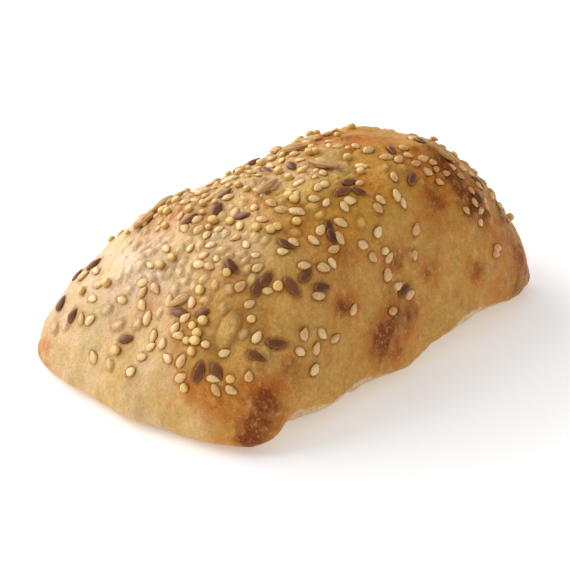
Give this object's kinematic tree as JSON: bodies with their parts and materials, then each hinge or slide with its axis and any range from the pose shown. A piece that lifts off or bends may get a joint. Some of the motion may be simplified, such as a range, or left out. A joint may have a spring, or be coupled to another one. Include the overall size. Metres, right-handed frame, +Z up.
{
  "type": "bread roll",
  "caption": "Long pillow-shaped bread roll with squarish corners, a thin golden crust and sesame, linseed, millet and sunflower seeds scattered over its crown",
  "frame": {"origin": "middle of the roll's plan, on the surface that its flat base rests on", "axes": "+X along the roll towards its higher far end, -Y out of the long side that the picture shows, +Z up"},
  "size_m": [0.118, 0.08, 0.0458],
  "materials": {
    "crust": "baked golden crust, satin on top and floury underneath",
    "sesame": "cream hulled sesame seed, satin",
    "linseed": "dark brown linseed, satin",
    "millet": "yellow millet grain, satin",
    "sunflower": "toasted sunflower kernel, matt"
  },
  "bodies": {
    "root": {"roll": "crust"}
  },
  "joints": []
}
